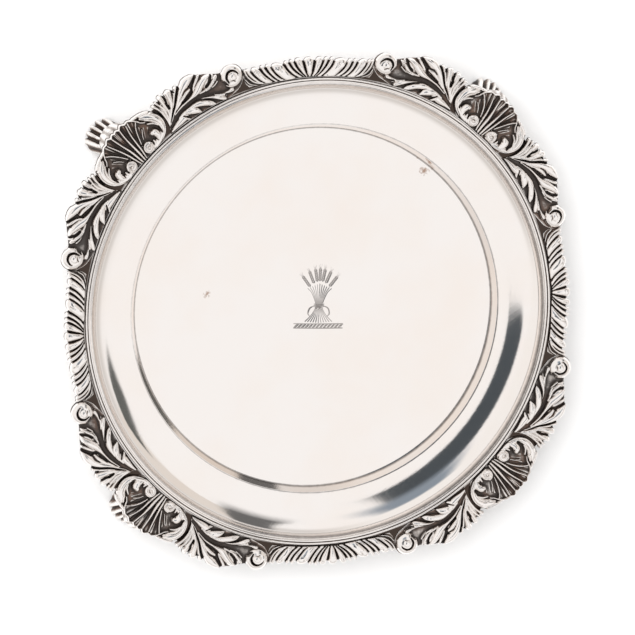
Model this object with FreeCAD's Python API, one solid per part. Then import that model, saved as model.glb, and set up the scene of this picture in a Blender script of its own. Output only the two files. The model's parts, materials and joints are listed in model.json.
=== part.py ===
import FreeCAD, Part
import math
import os

from FreeCAD import Vector

# A square-cornered silver salver on four feet. A sunk round dish is spun from one sheet whose flange
# spreads out under a cast border: a bead ring, a shell at each corner, a leaf spray ending in a scroll
# on each side of each shell, and a gadroon fan in the middle of each side.
# Millimetres. +Z is up. The origin is on the table, under the middle of the dish.

# Sheet: the dish and its flange
sheet = 0.9
field_radius = 82.0
field_height = 12.0
wall_run = 2.0
band_inner_height = 16.5
band_outer_radius = 97.0
band_outer_height = 18.0
flange_radius = 103.0
flange_height = 24.5

# Flange edge: degrees from the nearest shell's axis, and radius
flange_edge = [(0, 124.6), (8, 121.6), (18, 122.8), (25, 118.3), (31, 115.2), (38, 113.4), (45, 112.7)]

# Bead ring soldered round the mouth of the dish
bead_inner_radius = 104.0
bead_outer_radius = 106.3
bead_shoulder = 0.7
bead_height = 1.9

# Castings: every one stands on the flange
casting_inner_radius = 106.7
plate_height = 1.5
ridge_axis_height = 1.2
relief = 4.6
rim_angles = {"north_east": -45, "north_west": 45, "south_west": 135, "south_east": 225}
side_angles = {"north": 0, "west": 90, "south": 180, "east": 270}

# Shell: half of its edge, from the inner arc round the side curl to the middle of the lip
shell_edge = [(14.0, 108.0), (18.5, 112.5), (19.2, 116.5), (17.0, 121.6), (10.0, 124.9), (0.0, 127.0)]
shell_inner_half_width = 13.0
shell_root = 104.0
shell_root_spread = 4.5
shell_ridge_angles = [3.8, 11.5, 19.5, 28.0]
shell_ridge_length = 24.0
shell_ridge_root_radius = 0.6
shell_ridge_tip_radius = 1.5
volute_centre = (5.8, 110.0)
volute_radius = 3.0
volute_height = 3.6
curl_centre = (12.2, 115.5)
curl_radius = 5.6
curl_bead_radius = 1.3

# Leaf spray: its edge from the root beside the shell, out over the lobes and round the scroll
leaf_edge = [(18.4, 109.0), (21.2, 113.5), (21.4, 121.3), (27.0, 121.6), (39.0, 119.2), (44.5, 114.6),
             (50.0, 110.0), (55.0, 108.3), (59.2, 103.4), (56.5, 98.6), (51.5, 97.4)]
leaf_inner_start = 9.6
leaf_inner_end = 25.4
leaf_lobes = [((20.6, 110.5), (23.4, 122.4)), ((22.4, 112.2), (30.2, 122.0)), ((25.2, 112.6), (39.0, 120.2)),
              ((28.6, 112.0), (44.4, 116.6)), ((27.0, 108.6), (48.0, 111.6)), ((22.0, 106.6), (37.0, 104.2)),
              ((31.0, 105.0), (46.5, 99.6))]
leaf_lobe_root_radius = 0.6
leaf_lobe_tip_radius = 2.1
scroll_centre = (53.4, 103.0)
scroll_radius = 5.3
scroll_height = 4.2
scroll_groove_radius = 3.3
scroll_groove_width = 0.8

# Gadroon fan: half width at its ends, and the heights of its inner and outer edges there
fan_half_width = 27.2
fan_inner_middle = 107.1
fan_inner_end = 105.3
fan_outer_middle = 114.3
fan_outer_end = 113.0
fan_lobe_count = 6
fan_lobe_lean = 1.9
fan_lobe_root_radius = 0.8
fan_lobe_tip_radius = 1.9
fan_root_height = 106.0
fan_tip_height = 116.5

# Foot: height, inner and outer reach from the dish axis, and width of each oval section
foot_sections = [(flange_height - sheet, 108.5, 124.5, 17.0), (17.0, 112.5, 122.0, 12.5),
                 (9.0, 115.0, 123.5, 13.0), (3.0, 116.0, 129.0, 16.5), (0.0, 117.5, 128.0, 15.0)]
foot_groove_radius = 1.1
foot_groove_places = [-4.8, -1.6, 1.6, 4.8]
foot_groove_reach = 129.6
foot_groove_top_reach = 123.0
foot_groove_spread = 1.25
foot_groove_fall = 0.5


def point(pair, height=0.0):
    """A plan point lifted to a height."""
    return Vector(pair[0], pair[1], height)


def polar(radius, degrees):
    """A plan point at a radius and an angle, clockwise from +Y."""
    angle = math.radians(degrees)
    return Vector(radius * math.sin(angle), radius * math.cos(angle), 0)


def spline(points):
    """An open smooth edge through points."""
    curve = Part.BSplineCurve()
    curve.interpolate(points)
    return curve.toShape()


def prism(edges, bottom, height):
    """A flat outline in plan, raised from the bottom height."""
    face = Part.Face(Part.Wire(edges))
    solid = face.extrude(Vector(0, 0, height))
    solid.translate(Vector(0, 0, bottom))
    return solid


def ridge(start, end, start_radius, end_radius):
    """A tapered round ridge half sunk in a casting's plate, along a line in plan."""
    height = flange_height + ridge_axis_height
    first = point(start, height)
    run = point(end, height) - first
    return Part.makeCone(start_radius, end_radius, run.Length, first, run)


def turned(shape, degrees):
    """A copy of a shape turned about the dish axis."""
    copy = shape.copy()
    copy.rotate(Vector(0, 0, 0), Vector(0, 0, 1), degrees)
    return copy


def mirrored(shape):
    """A copy of a shape reflected in the YZ plane."""
    return shape.mirror(Vector(0, 0, 0), Vector(1, 0, 0))


def tray_plate():
    """The dish and its flange, spun and sawn from one sheet."""
    under_field = field_height - sheet
    under_flange = flange_height - sheet
    cavetto_run = flange_radius - band_outer_radius
    cavetto_rise = flange_height - band_outer_height
    middle = math.sqrt(0.5)
    wall_top = (field_radius + wall_run, band_inner_height)
    band_edge = (band_outer_radius, band_outer_height)
    cavetto_middle = (band_outer_radius + cavetto_run * middle, flange_height - cavetto_rise * middle)
    mouth = (flange_radius, flange_height)
    joint_radius = bead_outer_radius

    def profile(pair):
        return Vector(pair[0], 0, pair[1])

    top = [(0, field_height), (field_radius, field_height), wall_top, band_edge]
    under = [(band_outer_radius + sheet / 3, band_outer_height - sheet),
             (wall_top[0] + sheet, wall_top[1] - sheet),
             (field_radius + sheet, under_field), (0, under_field)]
    edges = [Part.makeLine(profile(a), profile(b)) for a, b in zip(top, top[1:])]
    edges.append(Part.Arc(profile(band_edge), profile(cavetto_middle), profile(mouth)).toShape())
    under_start = (flange_radius + sheet, under_flange)
    under_middle = (cavetto_middle[0] + sheet * middle, cavetto_middle[1] - sheet * middle)
    rim = [mouth, (joint_radius, flange_height), (joint_radius, under_flange), under_start]
    edges += [Part.makeLine(profile(a), profile(b)) for a, b in zip(rim, rim[1:])]
    edges.append(Part.Arc(profile(under_start), profile(under_middle), profile(under[0])).toShape())
    edges += [Part.makeLine(profile(a), profile(b)) for a, b in zip(under, under[1:])]
    edges.append(Part.makeLine(profile(under[-1]), profile(top[0])))
    dish = Part.Face(Part.Wire(edges)).revolve(Vector(0, 0, 0), Vector(0, 0, 1), 360)

    points = []
    for corner in range(4):
        rising = [(90 * corner + 45 + angle, radius) for angle, radius in flange_edge[:-1]]
        falling = [(90 * corner + 135 - angle, radius) for angle, radius in reversed(flange_edge[1:])]
        points += [polar(radius, angle) for angle, radius in rising + falling]
    edge = Part.BSplineCurve()
    edge.interpolate(points, PeriodicFlag=True)
    flange = prism([edge.toShape()], under_flange, sheet)
    opening = Part.makeCylinder(bead_inner_radius + sheet, 2 * flange_height)
    return dish.fuse(flange.cut(opening)).removeSplitter()


def rim_moulding():
    """The round bead that runs round the mouth of the dish."""
    shoulder = flange_height + bead_shoulder
    middle = (bead_inner_radius + bead_outer_radius) / 2
    corners = [Vector(bead_inner_radius, 0, flange_height), Vector(bead_inner_radius, 0, shoulder),
               Vector(bead_outer_radius, 0, shoulder), Vector(bead_outer_radius, 0, flange_height)]
    crown = Vector(middle, 0, flange_height + bead_height)
    edges = [Part.makeLine(corners[0], corners[1]), Part.Arc(corners[1], crown, corners[2]).toShape(),
             Part.makeLine(corners[2], corners[3]), Part.makeLine(corners[3], corners[0])]
    return Part.Face(Part.Wire(edges)).revolve(Vector(0, 0, 0), Vector(0, 0, 1), 360)


def casting(edges, features):
    """A cast ornament: a thin plate and its raised features, kept inside one outline."""
    body = prism(edges, flange_height, plate_height).multiFuse(features)
    return body.common(prism(edges, flange_height, relief)).removeSplitter()


def disc(centre, radius, height):
    """A round boss standing on the flange."""
    return Part.makeCylinder(radius, height, point(centre, flange_height))


def shell():
    """A corner shell: ridges fanned from its root, two small volutes and two side curls."""
    left = [Vector(-x, y, 0) for x, y in shell_edge]
    right = [point(pair) for pair in reversed(shell_edge)]
    inner_height = math.sqrt(casting_inner_radius ** 2 - shell_inner_half_width ** 2)
    start = Vector(-shell_inner_half_width, inner_height, 0)
    end = Vector(-start.x, start.y, 0)
    edges = [Part.makeLine(start, left[0]), spline(left + right[1:]), Part.makeLine(right[-1], end),
             Part.Arc(end, Vector(0, casting_inner_radius, 0), start).toShape()]
    features = []
    for side in (-1, 1):
        for angle in shell_ridge_angles:
            tip = polar(shell_ridge_length, side * angle) + Vector(0, shell_root, 0)
            root = polar(shell_root_spread, side * angle) + Vector(0, shell_root, 0)
            features.append(ridge((root.x, root.y), (tip.x, tip.y), shell_ridge_root_radius,
                                  shell_ridge_tip_radius))
        features.append(disc((side * volute_centre[0], volute_centre[1]), volute_radius, volute_height))
        curl = Part.makeTorus(curl_radius, curl_bead_radius)
        curl.translate(Vector(side * curl_centre[0], curl_centre[1], flange_height + plate_height))
        features.append(curl)
    return casting(edges, features)


def leaf_spray():
    """A leaf spray to the right of a shell, ending in a scroll."""
    outer = [point(pair) for pair in leaf_edge]
    start = polar(casting_inner_radius, leaf_inner_end)
    middle = polar(casting_inner_radius, (leaf_inner_start + leaf_inner_end) / 2)
    end = polar(casting_inner_radius, leaf_inner_start)
    edges = [spline(outer), Part.makeLine(outer[-1], start), Part.Arc(start, middle, end).toShape(),
             Part.makeLine(end, outer[0])]
    features = []
    for root, tip in leaf_lobes:
        features.append(ridge(root, tip, leaf_lobe_root_radius, leaf_lobe_tip_radius))
    scroll = disc(scroll_centre, scroll_radius, scroll_height)
    groove = disc(scroll_centre, scroll_groove_radius + scroll_groove_width, scroll_height)
    eye = disc(scroll_centre, scroll_groove_radius, scroll_height)
    lift = Vector(0, 0, scroll_height - scroll_groove_width)
    groove.translate(lift)
    eye.translate(lift)
    features.append(scroll.cut(groove.cut(eye)))
    return casting(edges, features)


def gadroon_fan():
    """A row of leaning lobes in the middle of a side, spreading from the centre to the scrolls."""
    inner_left = Vector(-fan_half_width, fan_inner_end, 0)
    inner_right = Vector(fan_half_width, fan_inner_end, 0)
    outer_left = Vector(-fan_half_width, fan_outer_end, 0)
    outer_right = Vector(fan_half_width, fan_outer_end, 0)
    edges = [Part.Arc(inner_right, Vector(0, fan_inner_middle, 0), inner_left).toShape(),
             Part.makeLine(inner_left, outer_left),
             Part.Arc(outer_left, Vector(0, fan_outer_middle, 0), outer_right).toShape(),
             Part.makeLine(outer_right, inner_right)]
    features = []
    pitch = (fan_half_width - fan_lobe_tip_radius) / fan_lobe_count
    for number in range(-fan_lobe_count, fan_lobe_count + 1):
        tip = pitch * number
        root = tip * (1 - fan_lobe_lean / fan_lobe_count)
        features.append(ridge((root, fan_root_height), (tip, fan_tip_height), fan_lobe_root_radius,
                              fan_lobe_tip_radius))
    return casting(edges, features)


def foot():
    """A cast foot that drops from the flange behind a shell and spreads into five toes."""
    wires = []
    for height, inner, outer, width in foot_sections:
        centre = Vector(0, (inner + outer) / 2, height)
        half_width = Vector(width / 2, 0, 0)
        half_depth = Vector(0, (outer - inner) / 2, 0)
        wires.append(Part.Wire(Part.Ellipse(centre + half_width, centre + half_depth, centre).toShape()))
    body = Part.makeLoft(wires, True)
    top = foot_sections[0][0]
    for place in foot_groove_places:
        start = Vector(place * foot_groove_spread, foot_groove_reach - abs(place) * foot_groove_fall, 0)
        end = Vector(place / foot_groove_spread, foot_groove_top_reach - abs(place) * foot_groove_fall, top)
        run = end - start
        body = body.cut(Part.makeCylinder(foot_groove_radius, run.Length, start, run))
    return body


def save(shape, name):
    """Write one node, after making sure that it is closed solids only."""
    if not shape.isValid() or not shape.Solids:
        raise ValueError(name + " is not a valid solid")
    shape.exportStep("parts/" + name + ".step")
    print(name, len(shape.Solids), "solid,", round(shape.Volume / 1000, 2), "cm3")


os.makedirs("parts", exist_ok=True)
save(tray_plate(), "tray_plate")
save(rim_moulding(), "rim_moulding")
shell_shape = shell()
right_leaf = leaf_spray()
left_leaf = mirrored(right_leaf)
fan_shape = gadroon_fan()
foot_shape = foot()
for corner, angle in rim_angles.items():
    save(turned(shell_shape, angle), "shell_" + corner)
    save(turned(right_leaf, angle), "right_leaf_" + corner)
    save(turned(left_leaf, angle), "left_leaf_" + corner)
    save(turned(foot_shape, angle), "foot_" + corner)
for side, angle in side_angles.items():
    save(turned(fan_shape, angle), "fan_" + side)
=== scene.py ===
import json
import math

import bpy
import numpy as np
from mathutils import Matrix, Vector


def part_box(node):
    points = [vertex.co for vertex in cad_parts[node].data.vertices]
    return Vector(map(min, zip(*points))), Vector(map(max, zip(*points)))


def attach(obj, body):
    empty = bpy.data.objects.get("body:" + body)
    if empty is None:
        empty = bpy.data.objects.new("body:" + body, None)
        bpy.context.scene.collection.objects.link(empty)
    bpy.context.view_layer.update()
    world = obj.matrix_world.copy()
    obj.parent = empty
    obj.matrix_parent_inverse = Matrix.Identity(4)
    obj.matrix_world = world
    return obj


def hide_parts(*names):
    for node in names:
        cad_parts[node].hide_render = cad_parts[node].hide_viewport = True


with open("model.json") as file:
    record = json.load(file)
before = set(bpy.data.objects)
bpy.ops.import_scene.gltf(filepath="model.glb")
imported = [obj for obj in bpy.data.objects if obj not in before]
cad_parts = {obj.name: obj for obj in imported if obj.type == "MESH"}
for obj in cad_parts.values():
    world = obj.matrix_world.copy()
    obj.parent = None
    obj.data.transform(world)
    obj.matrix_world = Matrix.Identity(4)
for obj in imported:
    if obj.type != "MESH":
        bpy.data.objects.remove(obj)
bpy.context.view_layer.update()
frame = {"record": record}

# Sizes are millimetres, which mesh_object turns into metres. Plan places are measured from the dish
# axis, and heights from the floor, or from the flange for the castings. In a casting's own plan +Y
# runs outwards. The camera, the lights and the floor are in metres.
MM = 0.001


def mount(name):
    """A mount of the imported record."""
    return next(m for m in frame["record"]["mounts"] if m["name"] == name)


# What the frame gives.
FIELD_Z = mount("field_top")["pos_m"][2] / MM
BEAD_LOW, BEAD_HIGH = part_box("rim_moulding")
FLANGE_Z = BEAD_LOW.z / MM
BEAD_OUTER = BEAD_HIGH.x / MM
SHEET = FIELD_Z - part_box("tray_plate")[0].z / MM
FOOT_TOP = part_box("foot_north_east")[1].z / MM

# Degrees from +Y round to each corner and side, anticlockwise from above.
CORNERS = {"north_east": -45, "north_west": 45, "south_west": 135, "south_east": 225}
SIDES = {"north": 0, "west": 90, "south": 180, "east": 270}

# The dish. Each slope of its curved band is a radius and degrees from level.
SEGMENTS = 480
FIELD_EDGE = 80.5
WALL_FOOT = 82.0
BAND_INNER = (84.0, 16.5)
BAND_START = 84.6
BAND_END = 103.0
SLOPES = [(84.6, 1), (88, 6), (94.5, 15.5), (98, 21), (100, 31), (101.5, 45), (102.6, 66), (103, 75)]

# The flange's edge at degrees from a corner. It swells under the shells and leaf sprays, and is
# trimmed so that the castings overhang it.
FLANGE_INNER = 106.0
FLANGE_EDGE = [(0, 124.6), (8, 121.6), (18, 122.8), (25, 118.3), (31, 115.2), (38, 113.4), (45, 112.7)]
FLANGE_TRIM = 1.0
CASTING_INNER = BEAD_OUTER + 0.4

# Dark seams of the dish: radius, half width, and strength on the bright and on the shaded side.
SEAMS = [(82.1, 0.46, 0.48, 0.78), (84.3, 0.28, 0.25, 0.80), (103.2, 0.60, 0.28, 0.80)]
SHADED_SIDE = -35

# The bead ring's two reeds.
BEAD_INNER = 104.05
BEAD_SPLIT = 105.15

# The engraved device: its middle, its turn in degrees, and the fine rings of points that carry it.
CREST_CENTRE = (1.4, -8.4)
CREST_TURN = -5.2
ENGRAVED_RADIUS = 22.6
ENGRAVED_STEP = 0.28

# A foot: height, nearest and furthest reach from the axis, and width. Its toes lean sideways.
TOES = 5
FOOT_ROWS = [(0.0, 118.0, 128.6, 14.6), (0.5, 117.5, 129.8, 15.6), (2.0, 116.9, 130.6, 16.6),
             (4.2, 116.2, 129.9, 16.6), (6.5, 115.6, 127.9, 15.8), (9.0, 115.0, 125.9, 14.8),
             (11.5, 114.4, 125.0, 14.0), (13.0, 114.0, 125.4, 14.0), (14.6, 113.4, 127.0, 14.6),
             (16.8, 112.6, 128.0, 15.4), (19.0, 111.6, 128.0, 16.2), (21.5, 109.8, 126.6, 16.8),
             (FOOT_TOP, 108.6, 124.4, 16.9)]
LEAN = {"north_west": -4.6, "north_east": -2.6, "south_west": 2.8, "south_east": 0.6}

# Colours of the silver, of its tarnish and of painted shade, and how much darker each corner's castings
# are made.
BRIGHT = (0.93, 0.89, 0.862)
WARM_BLOOM = (0.925, 0.862, 0.815)
GREY = (0.50, 0.46, 0.43)
BROWN = (0.185, 0.122, 0.094)
COOL_DARK_GREY = (0.100, 0.090, 0.085)
BLACK = (0.050, 0.040, 0.035)
SEAM_TARNISH_AND_SHADE = (0.062, 0.046, 0.038)
ENGRAVED_GREY = (0.10, 0.085, 0.08)
SPOT_BROWN = (0.36, 0.22, 0.15)
CORNER_DARKNESS = {"north_west": 1.25, "north_east": 1.1, "south_west": 1.1, "south_east": 1.0}

# Brown specks of the field: place, size and strength.
SPOTS = [((-48.5, 10.8), 1.3, 0.8), ((53.4, 58.1), 1.7, 0.85), ((57.2, 60.2), 1.6, 0.6),
         ((50.9, 64.5), 0.7, 0.5)]

# The room. A patch is its direction, the way it runs, half its length and width, how soft its edge
# is, and its colour. A later patch covers an earlier one.
CEILING = (1.0, 0.99, 0.985)
WALLS = (0.72, 0.70, 0.68)
HORIZON = (0.86, 0.85, 0.84)
FAR_LAMP = (0.97, 0.955, 0.94)
PATCHES = [
    # A warm side wall.
    ((0.74, 0.40, 0.50), (-0.5, 0.8, 0), 0.36, 0.30, 0.10, (0.80, 0.75, 0.70)),
    # The dark gap round the camera, cut short at both its ends by the ceiling.
    ((-0.062, 0.115, 0.99), (0.5, 0.87, 0), 0.36, 0.17, 0.05, (0.074, 0.087, 0.099)),
    ((-0.30, -0.33, 0.89), (1, 0, 0), 0.30, 0.175, 0.04, CEILING),
    ((0.25, 0.33, 0.90), (-0.31, 0.95, 0), 0.25, 0.20, 0.06, CEILING),
    # Two dark gaps between lamps.
    ((0.745, 0.02, 0.67), (0.13, 0.25, -0.13), 0.17, 0.09, 0.18, (0.13, 0.135, 0.13)),
    ((0.53, 0.64, 0.55), (0.05, 0.25, -0.6), 0.42, 0.11, 0.2, (0.15, 0.15, 0.15)),
    # A dim bluish window.
    ((-0.12, 0.47, 0.87), (0.90, 0.44, 0), 0.17, 0.19, 0.4, (0.27, 0.32, 0.38)),
]

# The camera: the point that it looks at, in the flange's plane, its distance from there, the degrees
# of its side of the salver, of its lean from straight down and of its roll, and its focal length.
VIEW_POINT = (-0.0013, -0.00176)
VIEW_DISTANCE = 1.7256
VIEW_SIDE = -135.47
VIEW_LEAN = 16.89
VIEW_ROLL = 131.48
FOCAL_LENGTH = 219.06


# ---------------------------------------------------------------- curves and reliefs

def smooth(rows, count):
    """Samples of a Catmull-Rom curve through rows of numbers."""
    knots = np.array(rows, float)
    knots = np.vstack([2 * knots[0] - knots[1], knots, 2 * knots[-1] - knots[-2]])
    place = np.linspace(0, len(knots) - 3 - 1e-9, count)
    first = place.astype(int)
    part = (place - first)[:, None]
    a, b, c, d = knots[first], knots[first + 1], knots[first + 2], knots[first + 3]
    bend = (2 * a - 5 * b + 4 * c - d) * part ** 2 + (3 * b - a - 3 * c + d) * part ** 3
    return 0.5 * (2 * b + (c - a) * part + bend)


def even(rows, count):
    """Evenly spaced samples of a smooth curve through rows of numbers."""
    fine = smooth(rows, 40 * len(rows))
    steps = np.hypot(np.diff(fine[:, 0]), np.diff(fine[:, 1]))
    length = np.concatenate([[0], np.cumsum(steps)])
    wanted = np.linspace(0, length[-1], count)
    return np.stack([np.interp(wanted, length, fine[:, k]) for k in range(fine.shape[1])], 1)


def arc(radius, first, last, count):
    """Plan points on a circle about the dish axis, at degrees clockwise from +Y."""
    angle = np.radians(np.linspace(first, last, count))
    return np.stack([radius * np.sin(angle), radius * np.cos(angle)], 1)


class Relief:
    """Heights over a plan grid, worked up by strokes. A stroke's rows are x, y, half width, height."""

    def __init__(self, x, y, ground):
        self.x = x
        self.y = y
        self.z = ground + 0 * x

    def nearest(self, stroke, margin):
        """The grid points near a stroke, their distance to it, and its width and height there."""
        line = smooth(stroke, max(8, 6 * len(stroke)))
        reach = line[:, 2].max() + margin
        near = (self.x > line[:, 0].min() - reach) & (self.x < line[:, 0].max() + reach)
        near &= (self.y > line[:, 1].min() - reach) & (self.y < line[:, 1].max() + reach)
        px, py = self.x[near], self.y[near]
        best = np.full(px.shape, 1e9)
        width = np.zeros_like(px)
        height = np.zeros_like(px)
        for start, end in zip(line, line[1:]):
            dx, dy = end[0] - start[0], end[1] - start[1]
            along = ((px - start[0]) * dx + (py - start[1]) * dy) / (dx * dx + dy * dy + 1e-12)
            along = np.clip(along, 0, 1)
            distance = np.hypot(px - start[0] - along * dx, py - start[1] - along * dy)
            closer = distance < best
            best = np.where(closer, distance, best)
            width = np.where(closer, start[2] + (end[2] - start[2]) * along, width)
            height = np.where(closer, start[3] + (end[3] - start[3]) * along, height)
        return near, best, np.maximum(width, 1e-3), height

    def lay(self, strokes, fullness):
        """Raises rounded lobes. A fullness of 0.5 is a half round; less is flatter with steep sides."""
        for stroke in strokes:
            near, distance, width, height = self.nearest(stroke, 0.2)
            inside = np.clip(distance / width, 0, 1)
            lobe = np.where(distance < width, height * (1 - inside ** 2) ** fullness, 0)
            self.z[near] = np.maximum(self.z[near], lobe)

    def cut(self, strokes):
        """Sinks rounded grooves."""
        for stroke in strokes:
            near, distance, width, height = self.nearest(stroke, 2.0)
            self.z[near] -= height * np.exp(-(distance / width) ** 2)

    def boss(self, centre, radius, height, squareness):
        """Raises a round button."""
        distance = np.hypot(self.x - centre[0], self.y - centre[1]) / radius
        dome = height * np.clip(1 - distance ** squareness, 0, 1) ** 0.5
        self.z = np.maximum(self.z, dome)

    def curl(self, centre, outer, inner, start, turn, width, height, fullness=0.5):
        """Lays a ridge that winds inwards about a centre."""
        part = np.linspace(0, 1, 24)
        radius = outer + (inner - outer) * part ** 0.9
        angle = np.radians(start + part * turn)
        x = centre[0] + radius * np.cos(angle)
        y = centre[1] + radius * np.sin(angle)
        broad = width[0] + (width[1] - width[0]) * part
        tall = height[0] + (height[1] - height[0]) * part
        self.lay([list(zip(x, y, broad, tall))], fullness)


def shell_relief(x, y):
    """The corner shell: hollow flutes between ridges, volutes at its root and a curl on each side."""
    relief = Relief(np.abs(x), y, 0.35)
    swing = np.arctan2(relief.x, y - 102)
    relief.z += 0.9 * np.clip((y - 114) / 12, 0, 1) ** 1.5 + 0.25 * np.clip((112 - y) / 5, 0, 1)
    relief.z += 0.26 * np.sin(64 * swing) * np.clip((y - 108) / 6, 0, 1)
    ridges = [
        [(0.66, 106.9, 0.60, 2.5), (0.95, 111.0, 0.85, 3.1), (1.25, 115.2, 0.86, 3.4),
         (1.8, 119.6, 0.68, 3.4), (2.5, 124.2, 0.60, 3.3)],
        [(0, 125.4, 0.45, 3.0), (0, 123.2, 0.30, 2.4), (0, 120.2, 0.10, 1.3)],
        [(1.85, 107.4, 0.50, 2.2), (2.65, 111.3, 0.68, 2.9), (3.4, 115.4, 0.68, 3.2),
         (4.4, 119.5, 0.60, 3.3), (5.8, 123.7, 0.60, 3.2)],
        [(3.9, 111.9, 0.30, 1.8), (4.9, 114.2, 0.46, 2.6), (6.2, 116.8, 0.50, 3.0),
         (7.8, 119.2, 0.52, 3.1), (9.7, 121.2, 0.55, 3.1)],
        [(6.5, 113.3, 0.24, 1.3), (7.8, 115.2, 0.36, 1.8), (9.6, 117.0, 0.32, 1.9)],
    ]
    lip = [
        [(0, 125.2, 0.45, 3.0), (1.3, 125.75, 0.50, 3.1), (2.5, 124.7, 0.50, 3.1)],
        [(2.5, 124.7, 0.50, 3.1), (4.1, 125.9, 0.55, 3.1), (5.8, 124.6, 0.50, 3.0)],
        [(5.8, 124.6, 0.50, 3.0), (7.8, 124.5, 0.55, 2.9), (9.6, 122.8, 0.55, 2.8)],
    ]
    relief.lay(ridges + lip, 0.6)
    side_curl = [
        [(8.5, 106.9, 0.7, 2.0), (12.0, 107.9, 1.2, 2.7), (15.6, 110.0, 1.7, 3.2),
         (17.1, 113.5, 2.0, 3.5), (16.5, 117.2, 2.3, 3.4), (14.6, 119.6, 2.2, 3.1),
         (12.9, 121.0, 1.4, 2.7)],
        [(12.8, 116.8, 0.55, 2.3), (14.5, 115.3, 0.85, 2.7), (15.6, 113.2, 0.6, 2.6)],
        [(8.6, 107.5, 0.9, 2.0), (10.9, 108.2, 1.5, 2.5), (12.4, 109.9, 1.8, 3.2),
         (12.2, 111.9, 2.0, 3.6), (11.2, 112.6, 1.4, 3.4)],
        [(7.2, 107.0, 0.8, 1.7), (8.9, 108.2, 1.1, 2.2), (9.3, 109.7, 0.8, 2.2)],
        [(9.6, 122.9, 0.5, 2.8), (10.6, 121.3, 0.55, 2.7), (11.3, 119.6, 0.45, 2.6),
         (12.6, 118.2, 0.35, 2.4)],
        [(9.6, 123.4, 0.7, 2.7), (12.0, 122.7, 1.0, 2.8), (15.0, 121.6, 1.0, 2.7),
         (16.8, 120.6, 0.8, 2.6)],
    ]
    relief.lay(side_curl, 0.45)
    volute = (5.7, 109.3)
    relief.boss(volute, 3.05, 2.6, 6)
    relief.curl(volute, 2.65, 0.9, 70, 460, (0.62, 0.52), (3.0, 3.5))
    relief.boss(volute, 1.0, 3.6, 2)
    relief.cut([
        [(8.0, 112.0, 0.40, 1.8), (9.4, 111.2, 0.40, 1.9), (10.6, 109.9, 0.30, 1.2),
         (11.0, 108.4, 0.22, 0.6)],
        [(12.2, 107.2, 0.18, 0.35), (15.6, 109.0, 0.2, 0.5), (18.0, 112.3, 0.2, 0.5),
         (18.3, 116.0, 0.2, 0.45), (16.9, 119.0, 0.2, 0.3)],
        [(13.4, 118.9, 0.2, 0.5), (15.3, 117.6, 0.22, 0.6), (16.4, 115.0, 0.22, 0.6),
         (16.2, 112.0, 0.2, 0.4), (15.0, 109.9, 0.2, 0.2)],
        [(11.6, 123.0, 0.2, 0.8), (12.6, 121.0, 0.2, 0.7), (14.0, 119.0, 0.15, 0.3)],
        [(9.6, 119.8, 0.5, 1.2), (11.2, 117.6, 0.6, 1.4), (12.3, 116.2, 0.4, 1.4),
         (14.2, 114.5, 0.45, 1.7), (15.0, 112.2, 0.45, 1.7), (14.75, 110.0, 0.4, 1.4)],
        [(4.0, 112.3, 0.35, 0.9), (5.8, 112.7, 0.35, 0.9), (7.8, 111.9, 0.35, 1.0),
         (8.7, 110.2, 0.35, 1.2), (8.4, 108.6, 0.3, 0.7)],
        [(0, 108.5, 0.2, 0.8), (0, 113, 0.22, 1.2), (0, 118, 0.2, 0.6)],
    ])
    return relief.z


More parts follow.
